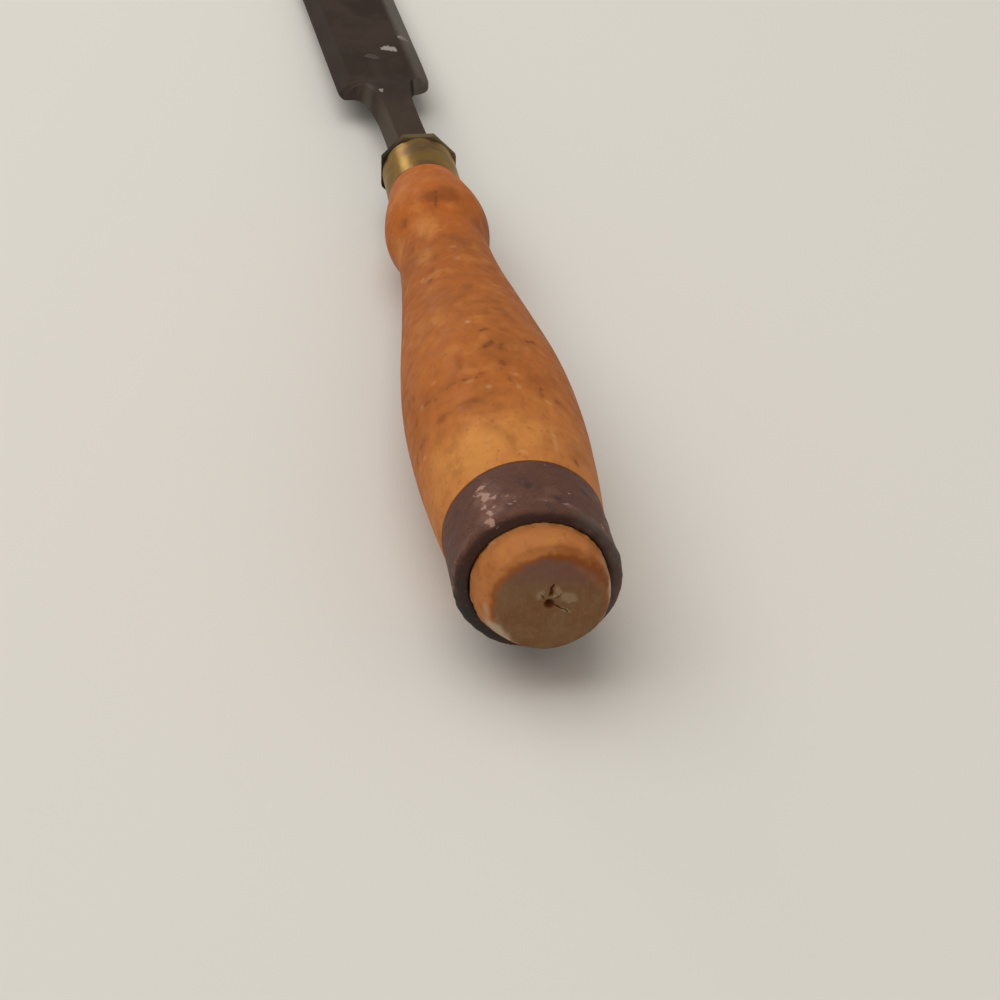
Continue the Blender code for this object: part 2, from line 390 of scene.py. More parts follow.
def finishMaterial(tree, shader, setup, linked, height):
    setSockets(shader, setup["shader"])
    for name, value in linked.items():
        tree.links.new(value, shader.inputs[name])
    strength, distance = setup["bump"]
    made = addNode(tree, "ShaderNodeBump", {
        "Height": height, "Strength": strength, "Distance": distance * mm})
    tree.links.new(made.outputs["Normal"], shader.inputs["Normal"])


# turned beech handle

handleSetup = {
    # turned shape, in mm
    "steps": 232, "gripSpacing": 0.46, "smoothAngle": 50,
    "centreHole": (0.7, 1.6),  # radius and depth
    "holeMouth": (0.8, 0.25), "holeSpacing": 0.2,  # share of the radius, and depth
    "buttFace": 7.6, "faceSpacing": 0.17, "buttRoundEnd": 0.6, "buttRoundSteps": 26,
    "seatRadius": 10.3, "seatEase": 0.1, "seatStart": 0.4,
    "grip": {  # (along, radius), slope
        "hoopEdge": ((14.05, 12.75), 0.10), "belly": ((45.0, 14.4), 0.0),
        "taper": ((72.0, 12.45), -0.124), "waist": ((110.6, 8.4), -0.03),
        "bead": ((120.4, 9.55), 0.06), "ferruleEdge": ((137.45, 7.22), -0.145),
    },
    "tenon": (149.6, 5.9), "tangBore": (81.5, 4.3),  # where it ends, radius
    "buttShift": 0.75,  # the butt end sits off the axis, to the right

    # wear of the grip, with painted light and painted shade
    "uneven": {"coarse": (16.0, 1), "medium": (3.2, 2), "fine": (0.9, 3), "grit": (1.1, 5)},  # size, seed
    "gripWear": ((14.2, 17.0), (133.0, 137.0)),  # fades in and out along the grip
    "floorSide": (8, 13),  # below the axis, where the handle lies on the floor and stays true
    "fleckWobble": 0.38, "fleckDepth": 0.09, "fleckHalo": 0.38, "chipDepth": 0.08,
    "fleckStrength": (0.8, 0.25, 1),  # middle, least and most
    # painted shade down the right side of the grip: degrees where it rises and falls, and its share
    "paintedShadeSide": ((35, 75), (120, 170)), "paintedShadeShare": 0.22,
    # thin dark flecks and checks: depth, half width, points of (along, degrees from the front)
    "flecks": [
        (0.85, 0.45, [(55.4, -5), (55.9, -2), (55.3, 0)]),
        (0.95, 0.45, [(50.4, -3), (49.9, -5), (49, -7), (48.5, -5), (49.4, -3)]),
        (0.90, 0.42, [(51, -1), (49.7, -1), (49, -2)]), (0.95, 0.42, [(49.8, 5), (47.8, 4)]),
        (0.6, 0.4, [(55.6, 9), (54.7, 9)]), (0.5, 0.35, [(50.2, 12), (50.6, 15)]),
        (0.95, 0.5, [(52.6, 25), (53.5, 29), (53, 30)]), (1.0, 0.5, [(43.5, 2), (42.4, 3)]),
        (0.6, 0.4, [(41.3, 0), (40.8, 0)]), (0.7, 0.6, [(45, -26), (43.7, -26)]),
        (0.7, 0.45, [(40.3, -13), (39.6, -17)]), (0.75, 0.4, [(40.1, -22), (40.5, -28)]),
        (0.65, 0.45, [(40.5, -32), (40.6, -37)]), (0.85, 0.4, [(41, -46), (40, -47)]),
        (0.65, 0.6, [(41.2, -52), (41.8, -56)]), (0.7, 0.4, [(48.5, -66), (46.7, -66)]),
        (0.85, 0.45, [(41.4, -67), (40.8, -70)]),
        (0.42, 0.9, [(31.9, -18), (33.8, -25), (34, -32), (33.6, -38), (33.7, -44), (33.6, -48)]),
        (0.8, 0.35, [(33.6, -64), (34.3, -70), (34.7, -76), (34.7, -81), (33.5, -83)]),
        (1.0, 0.45, [(36, 23), (33.7, 23)]), (0.6, 0.4, [(34.5, 35), (33.8, 35)]),
        (0.55, 0.4, [(38, 4), (36.8, 4)]), (0.45, 0.35, [(33.9, -12), (33.8, -10), (34.1, -8)]),
        (0.5, 0.35, [(26.1, -15), (25.8, -15)]), (0.45, 0.4, [(23.8, -2), (23.3, -2)]),
        (0.45, 0.35, [(25.8, 9), (25.3, 9)]), (0.85, 0.45, [(17.7, 40), (16.9, 40)]),
        (1.0, 0.4, [(120.2, -3), (118.1, -5), (115.7, -7)]), (0.7, 0.5, [(115.7, -49), (114.3, -51)]),
        (0.42, 1.5, [(102.7, -11), (102.6, -4), (101.6, 2), (100.3, 8), (98.7, 14)]),
        (0.95, 0.5, [(83.3, -37), (84.6, -34)]),
        (0.45, 1.1, [(64.5, 11), (63.7, 17), (62.3, 19), (60.2, 20)]), (0.7, 0.4, [(63.3, 3), (62, 2)]),
        (0.5, 0.4, [(93.9, -25), (92.3, -25)]), (0.5, 0.4, [(90, -28), (88.1, -31)]),
    ],
    # soft darker patches: along, degrees, half length, half width, depth, slant; the long ones down the
    # sides and underneath are painted shade, the rest smudges
    "smudgesAndSideShade": [
        (118.9, 2, 3.6, 4.6, 0.85, 0), (118.4, -7, 3.0, 2.4, 0.9, 0), (115.3, -53, 2.2, 2.0, 0.5, 0),
        (112.2, 43, 4.0, 2.2, 0.55, 0), (104.3, -54, 7.0, 1.6, 0.34, 0), (75.1, -4, 2.6, 1.3, 0.62, 15),
        (71.6, -10, 2.6, 1.3, 0.4, 15), (69.6, 13, 3.2, 1.7, 0.45, 0), (67.6, 0, 1.4, 4.2, 0.32, 0),
        (71.6, -22, 8.0, 2.0, 0.3, 0), (88.4, 33, 3.0, 1.2, 0.4, 0), (51.6, 26, 3.0, 2.2, 0.42, 0),
        (46.6, -25, 3.6, 1.1, 0.45, 0), (42.4, -53, 2.6, 3.0, 0.42, 0), (33.1, -23, 1.6, 2.6, 0.45, 0),
        (34.0, -47, 1.5, 1.3, 0.6, 0), (38.8, 25, 2.6, 2.6, 0.5, 0), (41.3, 36, 3.0, 2.0, 0.35, 0),
        (20.8, 44, 4.0, 2.6, 0.45, 0), (29.3, -8, 1.6, 0.8, 0.3, 0), (27.4, -33, 1.6, 1.6, 0.24, 0),
        (96.0, 8, 3.4, 4.6, 0.3, 0), (58.0, 60, 7.0, 3.0, 0.3, 0), (80.0, 100, 9.0, 3.0, 0.35, 0),
        (117.0, 68, 9.0, 2.4, 0.42, 0), (90.0, 68, 13.0, 2.4, 0.40, 0), (70.0, 64, 10.0, 3.0, 0.40, 0),
        (45.0, -72, 9.0, 3.4, 0.30, 0), (44.0, 170, 6.0, 4.0, 0.35, 0),
        (100.0, -130, 8.0, 2.5, 0.35, 0), (60.0, -110, 8.0, 3.0, 0.3, 0),
    ],
    "paleChips": [
        (59.7, -12, 0.6, 0.5, 1.0, 0), (36.0, -11, 0.8, 0.5, 0.5, 0), (35.1, 8, 1.0, 0.45, 0.5, 0),
        (39.2, 8, 0.6, 0.7, 0.5, 0), (39.1, -22, 0.6, 0.9, 0.45, 0), (30.9, -72, 0.6, 0.6, 0.7, 0),
        (44.9, -45, 0.5, 0.5, 0.5, 0), (42.2, -60, 1.0, 0.7, 0.45, 0), (32.2, 28, 0.7, 0.8, 0.5, 0),
        (22.0, 24, 0.9, 0.5, 0.6, 0), (16.4, -1, 0.6, 0.7, 0.5, 0), (21.3, -21, 0.6, 0.6, 0.4, 0),
        (87.0, -42, 1.0, 0.6, 0.45, 0), (77.8, 22, 0.8, 1.1, 0.35, 0), (97.1, -3, 0.8, 0.9, 0.4, 0),
        (90.9, -2, 1.2, 0.8, 0.35, 0), (19.7, 24, 4.0, 0.5, 0.3, 0),
    ],
    # lighter patches of painted light, most of them on the lit left side
    "paintedLightPatches": [
        (108.9, -24, 5.5, 2.6, 0.55, 0), (96.5, -34, 4.5, 1.6, 0.45, 0), (112.4, -80, 6.0, 3.0, 0.4, 0),
        (20.2, -34, 8.0, 9.0, 0.85, 0), (22.0, 11, 4.0, 2.4, 0.5, 0), (24.5, -59, 5.0, 4.0, 0.4, 0),
        (126.0, -45, 5.0, 2.2, 0.3, 0), (30.0, 120, 9.0, 8.0, 0.4, 0),
    ],

    # wear of the butt, with painted shade at its right
    "buttFade": (-5.6, 0.1), "faceFade": (-6.6, -5.2),
    "topWorn": 0.7, "topWornRadius": (4.0, 9.5), "topWornHeight": (-1.8, 9.0),
    "roundWorn": (6.0, 9.0), "lowWorn": 0.45, "lowWornHeight": (3.0, 9.0),
    "frayedAt": 0.7, "frayedFade": (0.2, 0.9), "frayedRadius": (9.4, 10.0), "frayedHeight": 0.22,
    "frayedShare": 0.25, "frayedMore": 0.8, "frayedSide": (85, 25, 55),  # frayed more at the right
    "frayedPale": 0.75,
    # checks in the end grain: direction from the front, where it starts and ends, half width
    "endCracks": [
        (8, 1.25, 3.3, 0.40), (116, 0.9, 3.4, 0.09), (48, 1.2, 2.4, 0.07), (-40, 1.2, 2.2, 0.06),
    ],
    "crackWander": (9.0, 0.8, 4),  # degrees, size, seed
    "crackDepth": 0.5, "crackTaper": 1.15, "crackLeast": 0.01, "crackFade": (0.3, 1.6), "crackStart": 0.2,
    "holeStain": (0.72, 0.98),
    # lifted flakes of end grain between the checks: across, to the front, half length, half width, turn
    "endFlakes": [
        (1.5, 1.9, 1.2, 0.6, -52), (2.6, 0.9, 1.5, 1.0, -24), (2.4, -1.3, 1.2, 0.4, -24),
        (-1.3, 1.7, 1.2, 0.6, 60), (0.7, 1.3, 0.7, 0.4, 0),
    ],
    "flakeFade": (0.4, 1.15), "flakeHeight": 0.16,
    "endOval": ((0.95, 9.35), (-0.95, 8.35)),  # middle and half width, across and to the front
    "endFade": (0.93, 1.05), "endBlur": (-0.17, 0.06), "endRimFade": (0.02, 0.13), "endRimShare": 0.8,
    "blurredSide": ((5, 45), (105, 135)),  # the end grain's edge is lost at the right
    "rearFade": (-3.4, -0.9),
    "buttShadeSide": (115, 40, 90), "buttShadeShare": (0.28, 0.3),  # painted shade at the right and lower right, made patchy by noise
    "buttStains": [
        (-6.0, 20, 1.3, 3.2, 0.55, 0), (-5.6, 48, 1.0, 1.4, 0.6, 0), (-4.6, 62, 1.6, 2.4, 0.3, 0),
        (-4.0, -62, 1.6, 2.0, 0.25, 0),
    ],
    "stainRadius": (6.2, 7.2),
    "barePatches": [
        (-5.0, -127, 2.2, 3.6, 0.75, 0), (-4.9, 86, 1.0, 3.2, 0.8, 0), (-3.4, 74, 2.4, 4.0, 0.34, 0),
        (-5.3, 116, 0.6, 1.6, 0.45, 0), (-5.3, -100, 0.9, 1.8, 0.35, 0),
    ],
    "bareRadius": (7.5, 8.5),
    "attributes": ("fleck", "smudgeAndShade", "chip", "bare", "glow", "endGrain", "endFlake", "endCrack"),

    # oiled beech
    "colours": {
        "butt": (0.46, 0.168, 0.050), "nearHoop": (0.51, 0.180, 0.043), "belly": (0.412, 0.122, 0.023),
        "taper": (0.392, 0.117, 0.022), "waist": (0.366, 0.100, 0.016), "bead": (0.423, 0.113, 0.019),
        "glow": (0.64, 0.275, 0.062), "dark": (0.208, 0.064, 0.015), "warm": (0.228, 0.060, 0.012),
        "deep": (0.115, 0.036, 0.009), "pale": (0.66, 0.40, 0.20), "bare": (0.56, 0.44, 0.30),
        "endGrain": (0.205, 0.112, 0.052), "endPale": (0.310, 0.205, 0.120), "endRim": (0.180, 0.062, 0.022),
        "mauve": (0.175, 0.080, 0.062),
    },
    "rampEnds": (-10.0, 150.0),
    "ramp": [  # share of the way between the ramp's ends
        (0.0, "butt"), (0.10, "butt"), (0.14, "nearHoop"), (0.20, "nearHoop"), (0.30, "belly"),
        (0.40, "belly"), (0.47, "taper"), (0.58, "waist"), (0.69, "waist"), (0.77, "bead"), (1.0, "bead"),
    ],
    "noise": {  # stretch, scale, detail, roughness, distortion
        "wander": ((1, 0.35, 1), 0.07, 2.0, 0.55, 0.0), "grime": ((1, 0.6, 1), 0.11, 4.0, 0.6, 0.6),
        "mottle": ((1, 0.7, 1), 0.36, 1.5, 0.45, 0.4), "fibre": ((2.2, 0.20, 2.2), 1.0, 3.0, 0.6, 0.0),
        "dust": ((1, 0.6, 1), 1.3, 2.0, 0.5, 0.0), "pores": ((1, 0.2, 1), 1.1, 4.0, 0.65, 0.0),
        "stain": ((0.6, 0.2, 1), 0.22, 3.0, 0.6, 0.5), "endRays": ((1.5, 0.2, 0.35), 1.0, 3.0, 0.6, 0.6),
        "gloss": (None, 0.5, 3.0, 0.55, 0.0),
    },
    "rings": {
        "toPith": (9.0, 0.0, 31.0), "wander": 7.0, "perMm": 0.42, "rise": (0.45, 0.95), "fall": (1.0, 0.95),
    },
    "rays": {"cells": (0.95, 0.34, 0.95), "size": (0.20, 0.08), "chosen": (0.6, 0.85)},
    "fibreShades": [(0.25, (0.55, 0.55, 0.55)), (0.75, (1.3, 1.3, 1.3))], "fibreShare": 0.045,
    "agedLayers": [
        # the first glow layer is painted light; the mottle layers are the wood's own tone
        ("glow", None, 0.75, "glow"), ("late", None, 0.05, "dark"), ("grime", (0.50, 0.76), 0.45, "dark"),
        ("mottle", (0.52, 0.74), 0.20, "glow"), ("mottle", (0.48, 0.28), 0.26, "dark"),
    ],
    "markLayers": [
        # the smudge layer holds smudges and stains together with painted shade down the sides
        ("dust", (0.58, 0.74), 0.30, "dark"), ("ray", None, 0.16, "dark"), ("smudgeAndShade", None, 0.92, "warm"),
        ("fleck", (0.05, 0.7), 0.75, "dark"), ("fleck", (0.5, 1.0), 0.45, "deep"),
        ("chip", None, 0.55, "pale"),
    ],
    "endLayers": [
        ("stain", (0.38, 0.62), 0.45, "endRim"), ("pores", (0.42, 0.72), 0.2, "endPale"),
        ("pores", (0.42, 0.25), 0.25, "endRim"), ("endRays", (0.5, 0.72), 0.15, "endPale"),
        ("upper", (2.5, 8.5), 0.8, "mauve"), ("endFlake", None, 0.7, "endPale"),
    ],
    "upperWander": 4.0,
    "buttLayers": [
        ("endGrain", None, 1.0, "endMix"), ("bare", None, 1.0, "bare"), ("endCrack", None, 1.0, "deep"),
    ],
    "glossFade": (0.3, 0.7), "roughness": (0.46, 0.64), "endRoughness": 0.25,
    "shader": {"Specular IOR Level": 0.06},
    "bump": (0.22, 0.12), "fibreHeight": 0.3,
}


def hermite(start, end, startSlope, endSlope, along):  # smooth curve between two stations
    span = end[0] - start[0]
    share = (along - start[0]) / span
    square, cube = share ** 2, share ** 3
    rise = 3 * square - 2 * cube
    leave = cube - 2 * square + share
    arrive = cube - square
    return (1 - rise) * start[1] + rise * end[1] + span * (leave * startSlope + arrive * endSlope)


def gripProfile():
    stations = list(handleSetup["grip"].values())
    points = []
    for (first, firstSlope), (second, secondSlope) in zip(stations[:-1], stations[1:]):
        count = round((second[0] - first[0]) / handleSetup["gripSpacing"])
        for step in range(count):
            along = first[0] + (second[0] - first[0]) * step / count
            points.append((along, hermite(first, second, firstSlope, secondSlope, along)))
    return points + [stations[-1][0]]


def handleProfile():
    setup = handleSetup
    butt = -toolSetup["buttOverhang"]
    holeRadius, holeDepth = setup["centreHole"]
    mouthShare, mouthDepth = setup["holeMouth"]
    hole = [(butt + holeDepth, 0), (butt + mouthDepth, holeRadius * mouthShare), (butt, holeRadius)]
    hole = fillProfile(hole, setup["holeSpacing"])
    face = fillProfile([(butt, holeRadius), (butt, setup["buttFace"])], setup["faceSpacing"])
    roundStart = (-setup["buttRoundEnd"], setup["buttFace"])
    roundSize = (-butt - setup["buttRoundEnd"], setup["seatRadius"] - setup["buttFace"])
    shoulder = quarterRound(roundStart, roundSize, -90, 0, setup["buttRoundSteps"])
    grip = gripProfile()
    seatRadius = setup["seatRadius"] - setup["seatEase"]
    seat = [(setup["seatStart"], seatRadius), (grip[0][0], seatRadius)]
    tenonEnd, tenonRadius = setup["tenon"]
    boreEnd, boreRadius = setup["tangBore"]
    tenon = [(grip[-1][0], tenonRadius), (tenonEnd, tenonRadius)]
    bore = [(tenonEnd, boreRadius), (boreEnd, boreRadius), (boreEnd, 0)]
    return hole + face[1:] + shoulder[1:] + seat + grip + tenon + bore


def wearGrip(places, outward, uneven):  # flecks, chips and patches, and the hollows they leave
    setup = handleSetup
    grip = band(places[:, 1], *setup["gripWear"])
    wobble = setup["fleckWobble"]
    fleck, halo = strokeCover(places, setup["flecks"], wobble * uneven["fine"], wobble * uneven["grit"])
    middle, least, most = setup["fleckStrength"]
    fleck *= np.clip(middle + weighted(uneven, fine=0.9, medium=0.5), least, most)
    # smudges, with painted shade in the long patches down the sides and underneath
    smudgeAndShade = patchCover(places, setup["smudgesAndSideShade"], weighted(uneven, medium=0.40, fine=0.25))
    chip = patchCover(places, setup["paleChips"], weighted(uneven, fine=0.40))
    # painted light, mostly on the left side
    glow = patchCover(places, setup["paintedLightPatches"], weighted(uneven, medium=0.35, fine=0.2))
    sunk = setup["fleckDepth"] * fleck + setup["chipDepth"] * chip
    swell = weighted(uneven, coarse=0.10, medium=0.02) * fadeOut(-places[:, 2], *setup["floorSide"])
    pushOut(places, outward, (swell - sunk) * grip)
    smudgeAndShade = np.maximum(smudgeAndShade, setup["fleckHalo"] * halo)
    return {"grip": grip, "fleck": fleck, "smudgeAndShade": smudgeAndShade, "chip": chip, "glow": glow}


def checkEndGrain(radius, angle):  # cracks that run out from the centre hole
    setup = handleSetup
    degrees, size, seed = setup["crackWander"]
    wander = degrees * unevenness(np.outer(radius, (1, 0, 0)), size, seed)
    core, edge = setup["crackFade"]
    crack = np.zeros(len(radius))
    for direction, nearEnd, farEnd, width in setup["endCracks"]:
        aside = radius * np.radians(np.abs(apart(angle, direction) + wander))
        taper = width * np.clip(setup["crackTaper"] - radius / farEnd, 0, 1) + setup["crackLeast"]
        begun = smoothStep(radius, nearEnd - setup["crackStart"], nearEnd + setup["crackStart"])
        crack = np.maximum(crack, fadeOut(aside, core * taper, edge * taper) * (radius < farEnd) * begun)
    return crack


def flakeEndGrain(places, uneven):
    ragged = weighted(uneven, fine=0.5, grit=0.3)
    flake = np.zeros(len(places))
    for across, front, length, width, turn in handleSetup["endFlakes"]:
        lifted = blotch(places[:, 0] - across, places[:, 2] - front, length, width, turn, ragged,
                        handleSetup["flakeFade"])
        flake = np.maximum(flake, lifted)
    return flake


def wearButt(places, radius, angle, outward, uneven):  # rounded unevenly, checked round its centre hole
    setup = handleSetup
    butt = fadeOut(places[:, 1], *setup["buttFade"])
    nearFace = fadeOut(places[:, 1], *setup["faceFade"])
    crack = checkEndGrain(radius, angle) * nearFace
    flake = flakeEndGrain(places, uneven) * nearFace * (1 - crack)
    ground = weighted(uneven, coarse=0.05, medium=0.06, fine=0.03)
    ground += setup["crackDepth"] * crack - setup["flakeHeight"] * flake
    top = smoothStep(radius, *setup["topWornRadius"]) * smoothStep(places[:, 2], *setup["topWornHeight"])
    places[:, 1] += nearFace * (ground + setup["topWorn"] * top)
    rounded = smoothStep(radius, *setup["roundWorn"]) * weighted(uneven, coarse=0.18, medium=0.10, fine=0.03)
    low = setup["lowWorn"] * smoothStep(-places[:, 2], *setup["lowWornHeight"])
    pushOut(places, outward, butt * (rounded - low))
    frayed = fadeOut(np.abs(places[:, 1] + setup["frayedAt"]), *setup["frayedFade"])
    frayed *= smoothStep(radius, *setup["frayedRadius"])
    torn = setup["frayedShare"] + setup["frayedMore"] * nearSide(angle, *setup["frayedSide"])
    frayed *= np.clip(torn + weighted(uneven, fine=1.2, medium=0.9), 0, 1)
    pushOut(places, outward, setup["frayedHeight"] * frayed)
    hole = nearFace * fadeOut(radius, *setup["holeStain"])
    return {"butt": butt, "endFlake": flake, "endCrack": np.maximum(crack, hole), "frayed": frayed}


def stainButt(places, radius, angle, uneven, butt):  # end grain, stains, painted shade at the right and bare wood
    setup = handleSetup
    (acrossMiddle, acrossHalf), (frontMiddle, frontHalf) = setup["endOval"]
    reach = np.hypot((places[:, 0] - acrossMiddle) / acrossHalf, (places[:, 2] - frontMiddle) / frontHalf)
    reach += weighted(uneven, coarse=0.06, medium=0.10, fine=0.03)
    rear = fadeOut(places[:, 1], *setup["rearFade"])
    blurred = band(angle, *setup["blurredSide"])
    endFade = [edge + blur * blurred for edge, blur in zip(setup["endFade"], setup["endBlur"])]
    endGrain = fadeOut(reach, *endFade) * rear
    endRim = fadeOut(np.abs(reach - 1), *setup["endRimFade"]) * rear
    # painted shade at the butt's right and lower right, broken up by noise
    evenShade, patchyShade = setup["buttShadeShare"]
    grime = nearSide(angle, *setup["buttShadeSide"]) * (evenShade + patchyShade * uneven["medium"])
    stains = patchCover(places, setup["buttStains"], weighted(uneven, medium=0.5, fine=0.4))
    stains *= smoothStep(radius, *setup["stainRadius"])
    bare = patchCover(places, setup["barePatches"], weighted(uneven, medium=0.4, fine=0.3))
    bare *= smoothStep(radius, *setup["bareRadius"])
    grime = np.maximum(butt * np.clip(grime, 0, 1), stains) + setup["endRimShare"] * endRim
    return {"endGrain": endGrain, "grime": grime, "bare": bare}


def makeHandle():
    setup = handleSetup
    piece = turnPiece("turned_handle", handleProfile(), setup["steps"])
    places = readPlaces(piece)
    uneven = unevenSet(places, setup["uneven"])
    radius, angle = roundAxis(places)
    outward = awayFromAxis(places)
    marks = wearGrip(places, outward, uneven)
    marks.update(wearButt(places, radius, angle, outward, uneven))
    marks.update(stainButt(places, radius, angle, uneven, marks["butt"]))
    # painted shade down the right side of the grip, carried with the smudges
    paintedSideShade = setup["paintedShadeShare"] * marks["grip"] * band(angle, *setup["paintedShadeSide"])
    marks["smudgeAndShade"] += marks["grime"] + paintedSideShade
    marks["chip"] = np.maximum(marks["chip"], setup["frayedPale"] * marks["frayed"])
    places[:, 0] += setup["buttShift"] * marks["butt"]
    writePlaces(piece, places)
    for name in setup["attributes"]:
        keepAttribute(piece, name, marks[name])
    seatPiece(piece, "handle", beechMaterial(), setup["smoothAngle"])


def growthRings(tree, place, wander):  # late wood round a pith below the handle
    rings = handleSetup["rings"]
    distance = distanceFrom(tree, place, rings["toPith"], (1, 0, 1))
    distance = maths(tree, "ADD", distance, scaled(tree, wander, rings["wander"]))
    ring = maths(tree, "FRACT", scaled(tree, distance, rings["perMm"]), 0.0)
    return scaled(tree, ranged(tree, ring, rings["rise"]), ranged(tree, ring, rings["fall"]))


def rayFlecks(tree, place):  # short flecks along the grain
    rays = handleSetup["rays"]
    cells = addNode(tree, "ShaderNodeTexVoronoi", {
        "Vector": stretch(tree, place, rays["cells"]), "Scale": 1.0})
    chosen = addNode(tree, "ShaderNodeSeparateColor", {"Color": cells.outputs["Color"]}).outputs[0]
    near = ranged(tree, cells.outputs["Distance"], rays["size"])
    return scaled(tree, near, ranged(tree, chosen, rays["chosen"]))


def beechMaterial():
    setup = handleSetup
    colours = dict(setup["colours"])
    material, tree, shader = startMaterial("oiledBeech")
    place = toolCoordinates(tree)
    parts = splitVector(tree, place)
    cover = noiseSet(tree, place, setup["noise"])
    cover.update(attributeSet(tree, setup["attributes"]))
    cover["late"] = growthRings(tree, place, cover["wander"])
    cover["ray"] = rayFlecks(tree, place)
    cover["upper"] = maths(tree, "ADD", parts["Z"], scaled(tree, cover["stain"], setup["upperWander"]))
    rearEnd, frontEnd = setup["rampEnds"]
    along = addNode(tree, "ShaderNodeMapRange", {
        "Value": parts["Y"], "From Min": rearEnd, "From Max": frontEnd}).outputs["Result"]
    base = colourRamp(tree, along, [(share, colours[name]) for share, name in setup["ramp"]])
    base = layered(tree, base, cover, setup["agedLayers"], colours)
    fibre = colourRamp(tree, cover["fibre"], setup["fibreShades"])
    base = mixColour(tree, setup["fibreShare"], base, fibre, "MULTIPLY")
    base = layered(tree, base, cover, setup["markLayers"], colours)
    colours["endMix"] = layered(tree, colours["endGrain"], cover, setup["endLayers"], colours)
    base = layered(tree, base, cover, setup["buttLayers"], colours)
    gloss = ranged(tree, cover["gloss"], setup["glossFade"], setup["roughness"])
    gloss = maths(tree, "ADD", gloss, scaled(tree, cover["endGrain"], setup["endRoughness"]))
    height = maths(tree, "ADD", cover["dust"], scaled(tree, cover["fibre"], setup["fibreHeight"]))
    finishMaterial(tree, shader, setup, {"Base Color": base, "Roughness": gloss}, height)
    return material


# browned steel hoop

